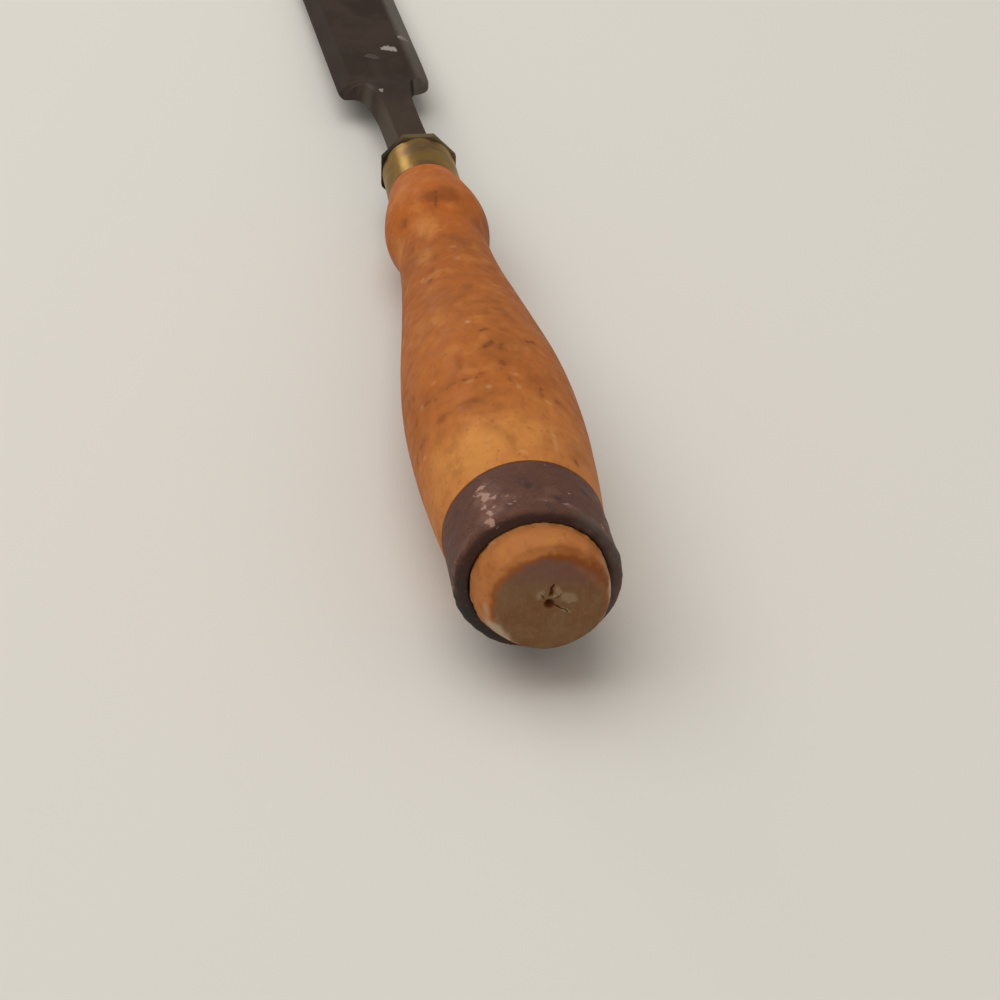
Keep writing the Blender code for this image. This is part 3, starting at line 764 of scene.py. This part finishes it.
hoopSetup = {
    # turned shape, in mm
    "length": 14.0, "outer": 12.7, "inner": 10.42, "steps": 240, "spacing": 0.36, "smoothAngle": 60,
    "rearRound": (0.8, 12), "frontRound": (0.35, 4), "innerRound": (0.45, 4),  # radius, steps

    # wear, painted shade and painted light
    "uneven": {"coarse": (6.0, 11), "medium": (1.8, 12), "fine": (0.7, 13)},  # size, seed
    "outside": (0.5, 0.4),  # wear fades in from the inner wall to the outer
    "rearFade": (0.3, 3.0), "frontFade": (12.8, 14.0), "frontRagged": 0.10,
    "flakeHeight": 0.10, "dentDepth": 0.16,
    "spread": (0.33, 0.75),  # rear rim beaten out, and back, at its right
    "spreadSide": (105, 12, 62), "spreadFade": (0.5, 5.0), "spreadWall": (0.1, 1.2),
    "rearTilt": (0.15, 1.05), "tiltFade": (-0.5, 7.0),  # rear rim further back, and not square
    # painted shade over the rear rim and the gap to the wood
    "rearRim": (12.0, 12.7), "rimWander": (0.2, 1.5),
    # painted light on the rear rim at the right
    "greySide": ((18, 42), (112, 140)), "greyRadius": (10.6, 11.3), "greyWander": 0.3, "greyShare": 0.85,
    # painted shade at the hoop's lower left, near its rear
    "slateSide": (-122, 18, 52), "slateFade": (3.0, 9.0), "slateShare": 0.8,
    # raised flakes: along, degrees, half length, half width, height, slant
    "flakes": [
        (10.4, -35.5, 0.5, 1.2, 0.85, 20), (8.9, -38, 0.6, 0.6, 0.7, 0),
        (7.2, -34.5, 1.4, 0.75, 1.0, 15), (6.0, -29, 0.5, 0.6, 0.7, 0), (8.2, -31, 0.4, 0.7, 0.7, 0),
        (5.0, -37, 0.7, 0.7, 0.8, 0), (3.0, -34, 1.2, 0.6, 0.9, -14), (1.2, -34, 1.3, 0.7, 1.0, -14),
        (1.6, -38, 0.7, 0.5, 0.8, 0), (3.9, -30, 0.5, 0.5, 0.6, 0), (3.2, -18, 0.5, 0.9, 0.42, 0),
        (2.6, 3, 0.4, 1.2, 0.30, 10), (2.4, 20, 0.5, 0.9, 0.28, 0), (2.0, 51, 0.6, 0.6, 0.5, 0),
        (5.0, -20, 0.35, 1.1, 0.34, 30), (9.6, -41, 0.4, 0.6, 0.5, 0), (5.6, 24, 0.4, 0.8, 0.35, 0),
        (1.2, -75, 0.6, 0.5, 0.6, 0), (0.9, -95, 0.5, 0.5, 0.5, 0), (4.0, -88, 0.4, 0.4, 0.4, 0),
        (12.9, 10, 0.4, 0.8, 0.4, 0),
    ],
    "dents": [
        (6.4, -3, 0.9, 0.9, 1.0, 0), (2.6, 16.5, 0.8, 0.7, 1.0, 0), (3.6, 14.5, 1.0, 0.8, 1.0, 0),
        (8.5, 40, 1.2, 0.8, 0.6, 0), (10.0, -60, 1.4, 0.9, 0.5, 20), (6.5, 75, 1.2, 1.0, 0.6, 0),
        (5.0, 150, 1.5, 1.0, 0.8, 0), (7.0, -140, 1.2, 1.4, 0.8, 0),
    ],
    "rubWearAndBevelLight": [
        (6.5, -34, 5.0, 2.6, 0.8, 0), (2.4, -34, 3.0, 2.4, 0.9, 0), (4.6, -22, 1.4, 2.6, 0.5, 20),
        (2.2, 4, 0.8, 3.0, 0.55, 0), (5.0, 12, 1.6, 1.4, 0.4, 0), (1.4, 24, 0.8, 2.0, 0.5, 0),
        (0.8, -60, 1.2, 2.4, 0.45, 0), (0.6, -90, 0.8, 3.0, 0.4, 0), (0.5, 60, 0.8, 2.6, 0.4, 0),
        (0.6, 180, 0.8, 6.0, 0.4, 0),
    ],
    "attributes": ("flake", "dent", "rearRim", "paintedLightRim", "slate", "worn"),

    # browned steel
    "colours": {
        "brown": (0.104, 0.042, 0.028), "dark": (0.054, 0.032, 0.027), "rust": (0.150, 0.066, 0.043),
        "flake": (0.40, 0.235, 0.175), "worn": (0.25, 0.130, 0.092), "paintedLightRim": (0.112, 0.086, 0.074),
        "slate": (0.046, 0.043, 0.040),
    },
    "noise": {  # stretch, scale, detail, roughness, distortion
        "cloud": (None, 0.35, 5.0, 0.6, 0.4), "speckle": (None, 2.6, 3.0, 0.6, 0.0),
        "breaks": (None, 1.9, 2.0, 0.6, 0.0),
    },
    "breaksFade": (0.3, 0.7), "breaksReach": (-0.45, 0.25),
    "layers": [
        ("cloud", (0.48, 0.72), 0.55, "rust"), ("cloud", (0.46, 0.30), 0.55, "dark"),
        ("speckle", (0.58, 0.70), 0.65, "dark"), ("speckle", (0.42, 0.28), 0.40, "rust"),
        # painted shade on the rear rim, painted light on its right, painted shade at the lower left
        ("rearRim", None, 0.8, "dark"), ("paintedLightRim", None, 1.0, "paintedLightRim"), ("slate", None, 1.0, "slate"),
        ("dent", None, 0.95, "dark"), ("worn", None, 0.5, "worn"), ("broken", (0.15, 0.6), 0.85, "flake"),
    ],
    "glossFade": (0.3, 0.7), "roughness": (0.48, 0.66),
    "shader": {"Metallic": 0.2, "Specular IOR Level": 0.09},
    "bump": (0.6, 0.14),
}


def hoopProfile():
    setup = hoopSetup
    length, inner = setup["length"], setup["inner"]
    rim, rimSteps = setup["innerRound"]
    profile = [(length, inner)]
    profile += quarterRound((rim, inner + rim), (rim, -rim), 0, -90, rimSteps)
    profile += ringOutside(0, length, setup["outer"], setup["rearRound"], setup["frontRound"])
    profile.append(profile[0])
    return fillProfile(profile, setup["spacing"])


def beatHoop(places, radius, angle, uneven):  # flakes, dents and a beaten rear rim
    setup = hoopSetup
    inner, outer = setup["inner"], setup["outer"]
    outward = awayFromAxis(places)
    outside = smoothStep(radius, inner + setup["outside"][0], outer - setup["outside"][1])
    rear = fadeOut(places[:, 1], *setup["rearFade"])
    flake = patchCover(places, setup["flakes"], weighted(uneven, medium=0.40, fine=0.5)) * outside
    dent = patchCover(places, setup["dents"], weighted(uneven, medium=0.3)) * outside
    skin = weighted(uneven, coarse=0.09, medium=0.06, fine=0.028)
    skin += rear * weighted(uneven, coarse=0.16, medium=0.14, fine=0.04)
    skin += setup["flakeHeight"] * flake - setup["dentDepth"] * dent
    pushOut(places, outward, outside * skin)
    places[:, 1] += rear * outside * weighted(uneven, coarse=0.10, medium=0.13, fine=0.05)
    spread = nearSide(angle, *setup["spreadSide"]) * fadeOut(places[:, 1], *setup["spreadFade"])
    spreadOut, spreadBack = setup["spread"]
    pushOut(places, outward, spreadOut * spread * outside)
    wall = smoothStep(radius, inner + setup["spreadWall"][0], outer - setup["spreadWall"][1])
    places[:, 1] -= spreadBack * spread * wall
    front = smoothStep(places[:, 1], *setup["frontFade"]) * outside
    places[:, 1] += setup["frontRagged"] * front * weighted(uneven, medium=1, coarse=1)
    back, tilt = setup["rearTilt"]
    places[:, 1] -= (back + tilt * places[:, 2] / outer) * fadeOut(places[:, 1], *setup["tiltFade"])
    return {"flake": flake, "dent": dent, "outside": outside, "rear": rear, "spread": spread}


def colourHoop(places, radius, angle, uneven, marks):  # painted shade on the rear rim and lower left, painted light on the rim's right, and rubbed places
    setup = hoopSetup
    medium = uneven["medium"]
    ragged, pushed = setup["rimWander"]
    # painted shade on the rear rim
    rim = fadeOut(radius + ragged * medium + pushed * marks["spread"], *setup["rearRim"])
    # painted light on the rear rim at the right
    grey = smoothStep(radius + setup["greyWander"] * medium, *setup["greyRadius"])
    grey *= band(angle, *setup["greySide"]) * (setup["greyShare"] + weighted(uneven, medium=0.5))
    # painted shade at the hoop's lower left
    slate = nearSide(angle, *setup["slateSide"]) * fadeOut(places[:, 1], *setup["slateFade"])
    slate *= setup["slateShare"] + weighted(uneven, medium=0.6)
    worn = patchCover(places, setup["rubWearAndBevelLight"], weighted(uneven, medium=0.5, fine=0.4))
    return {
        "rearRim": marks["rear"] * rim, "paintedLightRim": marks["rear"] * grey,
        "slate": slate, "worn": worn * marks["outside"]}


def makeHoop():
    setup = hoopSetup
    piece = turnPiece("striking_hoop", hoopProfile(), setup["steps"])
    places = readPlaces(piece)
    uneven = unevenSet(places, setup["uneven"])
    radius, angle = roundAxis(places)
    marks = beatHoop(places, radius, angle, uneven)
    marks.update(colourHoop(places, radius, angle, uneven, marks))
    writePlaces(piece, places)
    for name in setup["attributes"]:
        keepAttribute(piece, name, marks[name])
    seatPiece(piece, "hoop", hoopMaterial(), setup["smoothAngle"])


def hoopMaterial():
    setup = hoopSetup
    colours = setup["colours"]
    material, tree, shader = startMaterial("brownedHoopSteel")
    place = toolCoordinates(tree)
    cover = noiseSet(tree, place, setup["noise"])
    cover.update(attributeSet(tree, setup["attributes"]))
    breaks = ranged(tree, cover["breaks"], setup["breaksFade"], setup["breaksReach"])
    cover["broken"] = maths(tree, "ADD", cover["flake"], breaks)
    base = layered(tree, colours["brown"], cover, setup["layers"], colours)
    gloss = ranged(tree, cover["cloud"], setup["glossFade"], setup["roughness"])
    height = maths(tree, "ADD", cover["speckle"], cover["cloud"])
    finishMaterial(tree, shader, setup, {"Base Color": base, "Roughness": gloss}, height)
    return material


# brass ferrule

ferruleSetup = {
    "rear": 137.5, "front": 150.17, "outer": 7.1, "inner": 6.1,  # runs up to the bolster
    "round": (0.3, 4), "steps": 192, "spacing": 0.4, "smoothAngle": 55,  # radius and steps
    "uneven": {"broad": (5.0, 22), "small": (1.2, 23), "dented": (1.2, 21)},  # size, seed
    "outside": (0.3, 0.2),  # wear fades in from the inner wall to the outer
    "dentDepth": 0.08,
    # along, degrees, half length, half width, depth, slant
    "dents": [
        (145.0, 2, 1.0, 0.9, 0.7, 0), (141.0, -20, 1.4, 0.6, 0.3, 20), (147.2, 30, 0.8, 1.2, 0.4, 0),
        (143.0, 55, 1.2, 0.8, 0.4, 0), (142.0, 160, 1.2, 0.8, 0.6, 0), (146.0, -120, 1.0, 1.2, 0.6, 0),
    ],
    "colours": {
        "bright": (0.27, 0.165, 0.058), "olive": (0.182, 0.114, 0.067), "brown": (0.100, 0.060, 0.034),
    },
    "noise": {  # stretch, scale, detail, roughness, distortion
        "cloud": (None, 0.16, 4.0, 0.55, 0.3), "speckle": (None, 1.8, 3.0, 0.6, 0.0),
        "brushed": ((0.5, 5.0, 0.5), 1.0, 2.0, 0.55, 0.0),
    },
    "rearSeam": (138.6, 137.6), "frontSeam": (149.4, 150.1),  # dirt at both ends
    "layers": [
        ("cloud", (0.40, 0.62), 1.0, "olive"), ("speckle", (0.58, 0.78), 0.3, "brown"),
        ("seam", None, 0.6, "brown"),
    ],
    "glossFade": (0.3, 0.7), "roughness": (0.28, 0.38),
    "shader": {"Metallic": 1.0, "Specular Tint": (0.86, 0.74, 0.54, 1)},
    "bump": (0.2, 0.04),
}


def makeFerrule():
    setup = ferruleSetup
    rear, front, inner, outer = setup["rear"], setup["front"], setup["inner"], setup["outer"]
    profile = [(front, inner), (rear, inner)]
    profile += ringOutside(rear, front, outer, setup["round"], setup["round"])
    profile.append(profile[0])
    piece = turnPiece("brass_ferrule", fillProfile(profile, setup["spacing"]), setup["steps"])
    places = readPlaces(piece)
    uneven = unevenSet(places, setup["uneven"])
    radius = roundAxis(places)[0]
    outside = smoothStep(radius, inner + setup["outside"][0], outer - setup["outside"][1])
    dent = patchCover(places, setup["dents"], weighted(uneven, dented=0.2))
    skin = weighted(uneven, broad=0.04, small=0.010) - setup["dentDepth"] * dent
    pushOut(places, awayFromAxis(places), outside * skin)
    writePlaces(piece, places)
    seatPiece(piece, "ferrule", brassMaterial(), setup["smoothAngle"])


def brassMaterial():
    setup = ferruleSetup
    colours = setup["colours"]
    material, tree, shader = startMaterial("agedBrass")
    place = toolCoordinates(tree)
    along = splitVector(tree, place)["Y"]
    cover = noiseSet(tree, place, setup["noise"])
    rearSeam = ranged(tree, along, setup["rearSeam"])
    cover["seam"] = maths(tree, "ADD", rearSeam, ranged(tree, along, setup["frontSeam"]))
    base = layered(tree, colours["bright"], cover, setup["layers"], colours)
    gloss = ranged(tree, cover["cloud"], setup["glossFade"], setup["roughness"])
    height = maths(tree, "ADD", cover["speckle"], cover["brushed"])
    finishMaterial(tree, shader, setup, {"Base Color": base, "Roughness": gloss}, height)
    return material


# forged blade: the frame's own forging with its arrises eased

bladeSetup = {
    "flatAngle": 0.6, "arris": 0.22, "arrisAngle": 28, "arrisSegments": 2, "smoothAngle": 32,
    # the shoulders are forged soft, and the first part is cut finer for that
    # stretch past the ferrule, reach across, lowest level, rounds of smoothing
    "softening": [
        ((28, 52), (-12, 12), -3, 2), ((31, 49), (-12, 12), -3, 4), ((29, 51), (-12, -1), -0.9, 40),
        ((33, 47), (4.5, 12), -0.9, 6), ((33, 46), (-12, -3), -3, 10), ((37, 45), (-9.3, -4.6), -2.2, 80),
    ],
    "finerCuts": 4, "smoothShare": 0.5,
    "wallFacing": (0.45, 0.8),  # how squarely a shoulder's wall faces the handle
    "colours": {
        "brown": (0.047, 0.032, 0.024), "dark": (0.034, 0.024, 0.018), "left": (0.039, 0.028, 0.021),
        "side": (0.074, 0.056, 0.042), "bevel": (0.122, 0.108, 0.092), "bevelLow": (0.098, 0.082, 0.064),
        "neck": (0.066, 0.046, 0.034), "wall": (0.070, 0.053, 0.042), "wallRight": (0.120, 0.104, 0.086),
        "hollow": (0.100, 0.078, 0.063), "bolster": (0.030, 0.024, 0.016), "olive": (0.120, 0.090, 0.045),
        "ground": (0.30, 0.285, 0.265),
    },
    # stretch, scale, detail, roughness, distortion
    "noise": {"cloud": ((1, 0.6, 1), 0.11, 4.0, 0.55, 0.4), "speckle": (None, 1.3, 4.0, 0.6, 0.0)},
    "bladeNoise": {"scratch": ((0.3, 9.0, 1.0), 1.0, 2.0, 0.55, 0.0)},
    # fades in mm, across and along from the blade's bend
    # leftAcross and leftAlong mark painted shade on the left bevel; wallAlong limits the painted light on
    # the shoulder walls
    "leftAcross": (-6.7, -7.2), "leftAlong": (30.0, 36.0), "wallAlong": (18.0, 24.0),
    # neckAcross and neckAlong mark painted light on the neck's left side
    "neckAcross": (-2.7, -3.2), "neckAlong": (24.0, 12.0), "groundAlong": (139.2, 139.6),
    "toHollow": (5.4, -30.0, 0.0), "hollowStretch": (0.36, 0.18, 0.0),  # painted light beside the left shoulder, where the neck's left side flares
    "litBevelAcross": (5.8, 7.6),  # painted light on the right bevel, broken up by specks
    "litBevelSpeckle": (0.75, 0.45), "litBevelReach": (0.6, 1.0),
    # colours that change over the blade: cover, fade, share, from and to
    "changes": {
        # painted light on the shoulder walls that face the handle, stronger at the right
        "wallMix": ("across", (2.0, 6.0), 1.0, "wall", "wallRight"),
        # colour of the painted light on the right bevel, lighter further along
        "bevelMix": ("along", (46.0, 68.0), 1.0, "bevelLow", "bevel"),
        "bolsterMix": ("toolAcross", (-5.5, -1.5), 1.0, "bolster", "olive"),  # painted shade at the left, olive towards the right
        "groundMix": ("scratch", (0.35, 0.65), 0.5, "ground", "bevel"),
    },
    "layers": [
        ("cloud", (0.38, 0.64), 1.0, "dark"), ("speckle", (0.56, 0.78), 0.4, "dark"),
        # painted shade on the left bevel, painted light on the shoulder walls, the neck's left side, beside
        # the left shoulder and on the right bevel
        ("left", None, 1.0, "left"), ("along", (30.0, 16.0), 0.55, "neck"), ("wall", None, 1.0, "wallMix"),
        ("neckSide", None, 1.0, "side"), ("fromHollow", (1.0, 0.2), 0.75, "hollow"),
        ("rubWearAndBevelLight", None, 1.0, "bevelMix"),
        ("toolAlong", (152.6, 151.9), 1.0, "bolsterMix"), ("ground", None, 1.0, "groundMix"),
    ],
    "glossFade": (0.3, 0.7), "roughness": (0.50, 0.62), "groundGloss": 0.2, "groundMetal": 0.9,
    "shader": {"Specular IOR Level": 0.02},
    "bump": (0.3, 0.08),
}


def makeBlade():
    setup = bladeSetup
    clearSelection()
    source = frame["nodes"]["blade"]
    piece = source.copy()
    piece.data = source.data.copy()
    piece.name = "forged_blade"
    bpy.context.scene.collection.objects.link(piece)
    piece.parent = None
    pickOnly(piece)
    bpy.ops.object.mode_set(mode="EDIT")
    bpy.ops.mesh.select_all(action="SELECT")
    bpy.ops.mesh.remove_doubles(threshold=toolSetup["mergeGap"] * mm)
    bpy.ops.mesh.dissolve_limited(angle_limit=math.radians(setup["flatAngle"]))
    bpy.ops.object.mode_set(mode="OBJECT")
    eased = piece.modifiers.new("easedArrises", "BEVEL")
    eased.width = setup["arris"] * mm
    eased.segments = setup["arrisSegments"]
    eased.limit_method = "ANGLE"
    eased.angle_limit = math.radians(setup["arrisAngle"])
    bpy.ops.object.modifier_apply(modifier=eased.name)
    for index, (stretchPast, reach, level, rounds) in enumerate(setup["softening"]):
        selectPart(piece, stretchPast, reach, level)
        if index == 0:
            bpy.ops.mesh.quads_convert_to_tris()
            bpy.ops.mesh.subdivide(number_cuts=setup["finerCuts"])
        bpy.ops.mesh.vertices_smooth(factor=setup["smoothShare"], repeat=rounds)
        bpy.ops.object.mode_set(mode="OBJECT")
    # the walls that face the handle get painted light
    facing = np.empty(len(piece.data.vertices) * 3)
    piece.data.vertices.foreach_get("normal", facing)
    rearward = -facing.reshape(-1, 3) @ np.array(toolMatrix.col[1][:3])
    keepAttribute(piece, "shoulderWall", smoothStep(rearward, *setup["wallFacing"]))
    finishPiece(piece, "blade", steelMaterial(), setup["smoothAngle"])
    return piece


def selectPart(piece, stretchPast, reach, level):  # vertices of one part of the blade, left in edit mode
    toBlade = bladeToScene.inverted()
    bendAt = toolSetup["bladeBend"][0]
    bpy.ops.object.mode_set(mode="EDIT")
    bpy.ops.mesh.select_mode(type="VERT")
    bpy.ops.mesh.select_all(action="DESELECT")
    bpy.ops.object.mode_set(mode="OBJECT")
    for vertex in piece.data.vertices:
        across, along, front = toBlade @ vertex.co
        inStretch = stretchPast[0] < along + bendAt < stretchPast[1]
        vertex.select = inStretch and reach[0] < across < reach[1] and front > level
    bpy.ops.object.mode_set(mode="EDIT")


def bladeCoordinates(tree, place):  # along the leaning blade, from its bend
    mapping = addNode(tree, "ShaderNodeMapping", {
        "Vector": place, "Location": bladeMatrix.translation,
        "Rotation": bladeMatrix.to_euler()}, vector_type="TEXTURE")
    return mapping.outputs["Vector"]


def steelMaterial():
    setup = bladeSetup
    colours = dict(setup["colours"])
    material, tree, shader = startMaterial("brownedBladeSteel")
    place = toolCoordinates(tree)
    bladePlace = bladeCoordinates(tree, place)
    onTool = splitVector(tree, place)
    onBlade = splitVector(tree, bladePlace)
    across, along = onBlade["X"], onBlade["Y"]
    cover = {"across": across, "along": along, "toolAcross": onTool["X"], "toolAlong": onTool["Y"]}
    cover.update(noiseSet(tree, place, setup["noise"]))
    cover.update(noiseSet(tree, bladePlace, setup["bladeNoise"]))
    cover.update(attributeSet(tree, ["shoulderWall"]))
    # painted shade on the left bevel
    left = ranged(tree, across, setup["leftAcross"])
    cover["left"] = scaled(tree, left, ranged(tree, along, setup["leftAlong"]))
    # painted light on the shoulder walls
    cover["wall"] = scaled(tree, cover["shoulderWall"], ranged(tree, along, setup["wallAlong"]))
    # painted light on the neck's left side
    neckSide = ranged(tree, across, setup["neckAcross"])
    cover["neckSide"] = scaled(tree, neckSide, ranged(tree, along, setup["neckAlong"]))
    # painted light beside the left shoulder
    cover["fromHollow"] = distanceFrom(tree, bladePlace, setup["toHollow"], setup["hollowStretch"])
    # painted light on the right bevel, broken up by specks
    specks = ranged(tree, cover["speckle"], setup["litBevelSpeckle"], setup["litBevelReach"])
    cover["rubWearAndBevelLight"] = scaled(tree, ranged(tree, across, setup["litBevelAcross"]), specks)
    cover["ground"] = ranged(tree, along, setup["groundAlong"])  # the cutting bevel is ground bright
    for name, (source, fade, share, first, second) in setup["changes"].items():
        amount = ranged(tree, cover[source], fade, (0.0, share))
        colours[name] = mixColour(tree, amount, colours[first], colours[second])
    base = layered(tree, colours["brown"], cover, setup["layers"], colours)
    metal = scaled(tree, cover["ground"], setup["groundMetal"])
    gloss = ranged(tree, cover["cloud"], setup["glossFade"], setup["roughness"])
    gloss = maths(tree, "SUBTRACT", gloss, scaled(tree, cover["ground"], setup["groundGloss"]))
    height = maths(tree, "ADD", cover["speckle"], cover["cloud"])
    finishMaterial(tree, shader, setup, {"Base Color": base, "Metallic": metal, "Roughness": gloss}, height)
    return material


# specks of old paint on the blade's front

paintSetup = {
    # along from the bend, across, half length, half width, slant, cover
    "specks": [
        (53.6, 3.4, 1.8, 1.2, -34, 1.0), (59.4, 7.4, 1.2, 1.2, -34, 0.6),
        (49.4, -0.8, 1.8, 1.0, -43, 0.03), (26.2, -2.5, 1.1, 0.40, 4, 0.8),
    ],
    "corners": 28, "cuts": 2, "thickness": 0.07, "smoothAngle": 40,
    "ragged": 0.6, "raggedSize": 0.5, "firstSeed": 31,
    "dropFrom": 12.0, "sunk": 0.01,
    "paint": (0.30, 0.262, 0.236), "steel": (0.058, 0.045, 0.037),
    "noise": {"patchy": (None, 1.6, 3.0, 0.6, 0.0)},  # stretch, scale, detail, roughness, distortion
    "patchyFade": (0.25, 0.55), "patchyReach": (0.55, 1.0),
    "shader": {"Roughness": 0.65, "Specular IOR Level": 0.05},
    "bump": (0.3, 0.05),
}


def dropOnBlade(blade, places):  # levels of the blade's front under points of its leaning frame
    fromScene = bladeToScene.inverted()
    down = -toolMatrix.col[2].to_3d()
    levels = []
    for across, along, level in places:
        above = bladeToScene @ Vector((across, along, paintSetup["dropFrom"]))
        hit, point = blade.ray_cast(above, down)[:2]
        levels.append((fromScene @ point).z - paintSetup["sunk"] if hit else level)
    return np.array(levels)


def makeSpeck(blade, row, seed):
    setup = paintSetup
    along, across, length, width, slant, cover = row
    bpy.ops.mesh.primitive_circle_add(vertices=setup["corners"], radius=mm, fill_type="TRIFAN")
    speck = bpy.context.object
    bpy.ops.object.mode_set(mode="EDIT")
    bpy.ops.mesh.select_all(action="SELECT")
    bpy.ops.mesh.subdivide(number_cuts=setup["cuts"])
    bpy.ops.transform.resize(value=(width, length, 1))
    bpy.ops.transform.rotate(value=math.radians(slant), orient_axis="Z", center_override=(0, 0, 0))
    bpy.ops.transform.translate(value=(across * mm, along * mm, 0))
    bpy.ops.object.mode_set(mode="OBJECT")
    places = readPlaces(speck)
    centre = np.array([across, along, 0])
    ragged = 1 + setup["ragged"] * unevenness(places, setup["raggedSize"], seed)
    places = centre + (places - centre) * ragged[:, None]
    places[:, 2] = dropOnBlade(blade, places)
    writePlaces(speck, places)
    keepAttribute(speck, "cover", np.full(len(places), cover))
    thick = speck.modifiers.new("paintThickness", "SOLIDIFY")
    thick.thickness = setup["thickness"] * mm
    thick.offset = 1
    bpy.ops.object.modifier_apply(modifier=thick.name)
    return speck


def makePaintSpecks(blade):
    clearSelection()
    specks = []
    for index, row in enumerate(paintSetup["specks"]):
        specks.append(makeSpeck(blade, row, paintSetup["firstSeed"] + index))
    clearSelection()
    for speck in specks:
        speck.select_set(True)
    piece = specks[0]
    bpy.context.view_layer.objects.active = piece
    bpy.ops.object.join()
    piece.name = "paint_specks"
    piece.matrix_world = fromMm @ bladeMatrix @ toMm
    pickOnly(piece)
    bpy.ops.object.transform_apply(location=True, rotation=True, scale=True)
    seatPiece(piece, None, paintMaterial(), paintSetup["smoothAngle"])


def paintMaterial():
    setup = paintSetup
    material, tree, shader = startMaterial("oldPaintSpecks")
    cover = noiseSet(tree, toolCoordinates(tree), setup["noise"])
    cover.update(attributeSet(tree, ["cover"]))
    patchy = ranged(tree, cover["patchy"], setup["patchyFade"], setup["patchyReach"])
    base = mixColour(tree, scaled(tree, cover["cover"], patchy), setup["steel"], setup["paint"])
    finishMaterial(tree, shader, setup, {"Base Color": base}, cover["patchy"])
    return material


# floor, lights and camera

stageSetup = {
    "floorSize": 6.0,
    "floor": {"Base Color": (0.70, 0.672, 0.615, 1), "Roughness": 0.8, "Specular IOR Level": 0.1},
    "world": {"Color": (0.74, 0.72, 0.69, 1), "Strength": 0.70},
    "lamps": {
        "keyStrip": {"place": (-0.37, 0.92, 0.36), "size": (0.14, 0.45), "watts": 0.8},
        "softTop": {"place": (-0.36, 0.06, 1.10), "size": (1.5, 1.5), "watts": 9.6},
    },
}
cameraSetup = {
    "place": (-66.1, -377.37, 236.76),  # mm in the tool's frame
    "right": (0.98958, -0.14142, 0.02717), "up": (0.04798, 0.50168, 0.86372),
    "sensor": 36.0, "lens": 108.0, "nearest": 0.01,
}


def makeStage():
    clearSelection()
    bpy.ops.mesh.primitive_plane_add(size=stageSetup["floorSize"], location=(0, 0, 0))
    floor = bpy.context.object
    floor.name = "paleFloor"
    material = startMaterial("paleFloor")[0]
    setSockets(material.node_tree.nodes["Principled BSDF"], stageSetup["floor"])
    floor.data.materials.append(material)
    world = bpy.data.worlds.new("softRoom")
    bpy.context.scene.world = world
    world.use_nodes = True
    setSockets(world.node_tree.nodes["Background"], stageSetup["world"])
    for name, setup in stageSetup["lamps"].items():
        bpy.ops.object.light_add(type="AREA", location=setup["place"])
        lamp = bpy.context.object
        lamp.name = name
        lamp.data.shape = "RECTANGLE"
        lamp.data.size, lamp.data.size_y = setup["size"]
        lamp.data.energy = setup["watts"]
        lamp.rotation_euler = (-Vector(setup["place"])).to_track_quat("-Z", "Y").to_euler()
    bpy.context.scene.view_settings.view_transform = "Standard"
    print("stage set")


def makeCamera():
    setup = cameraSetup
    right = Vector(setup["right"]).normalized()
    back = right.cross(Vector(setup["up"])).normalized()
    matrix = Matrix((right, back.cross(right), back)).transposed().to_4x4()
    matrix.translation = Vector(setup["place"]) * mm
    bpy.ops.object.camera_add()
    camera = bpy.context.object
    camera.matrix_world = toolMatrix @ matrix
    camera.data.sensor_width = setup["sensor"]
    camera.data.lens = setup["lens"]
    camera.data.clip_start = setup["nearest"]
    bpy.context.scene.camera = camera
    print("camera placed")


makeHandle()
makeHoop()
makeFerrule()
forgedBlade = makeBlade()
makePaintSpecks(forgedBlade)
makeStage()
makeCamera()
